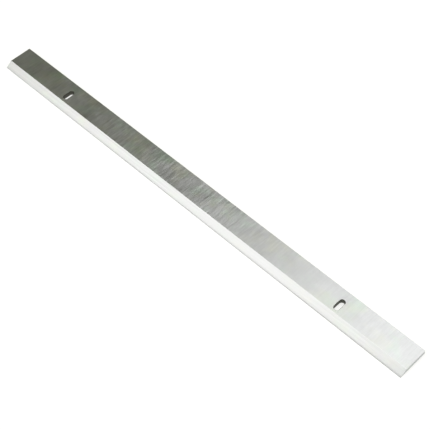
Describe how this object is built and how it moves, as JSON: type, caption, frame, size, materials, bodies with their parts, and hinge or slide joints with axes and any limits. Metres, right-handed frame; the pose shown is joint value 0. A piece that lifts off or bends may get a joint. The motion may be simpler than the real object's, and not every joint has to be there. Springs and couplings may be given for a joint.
{
  "type": "planer knife",
  "caption": "Long flat planer knife of ground tool steel with a bevelled cutting edge along one side and adjusting slots across its width.",
  "frame": {"origin": "centre of the knife's outline, on the plane of its back face", "axes": "+X along the knife, +Y from the cutting edge towards the spine, +Z out of the top face"},
  "size_m": [0.3112, 0.019, 0.0032],
  "materials": {
    "ground_steel": "surface ground across the width, with a finer ground bevel"
  },
  "bodies": {
    "root": {"planer_knife": "ground_steel"}
  },
  "joints": []
}
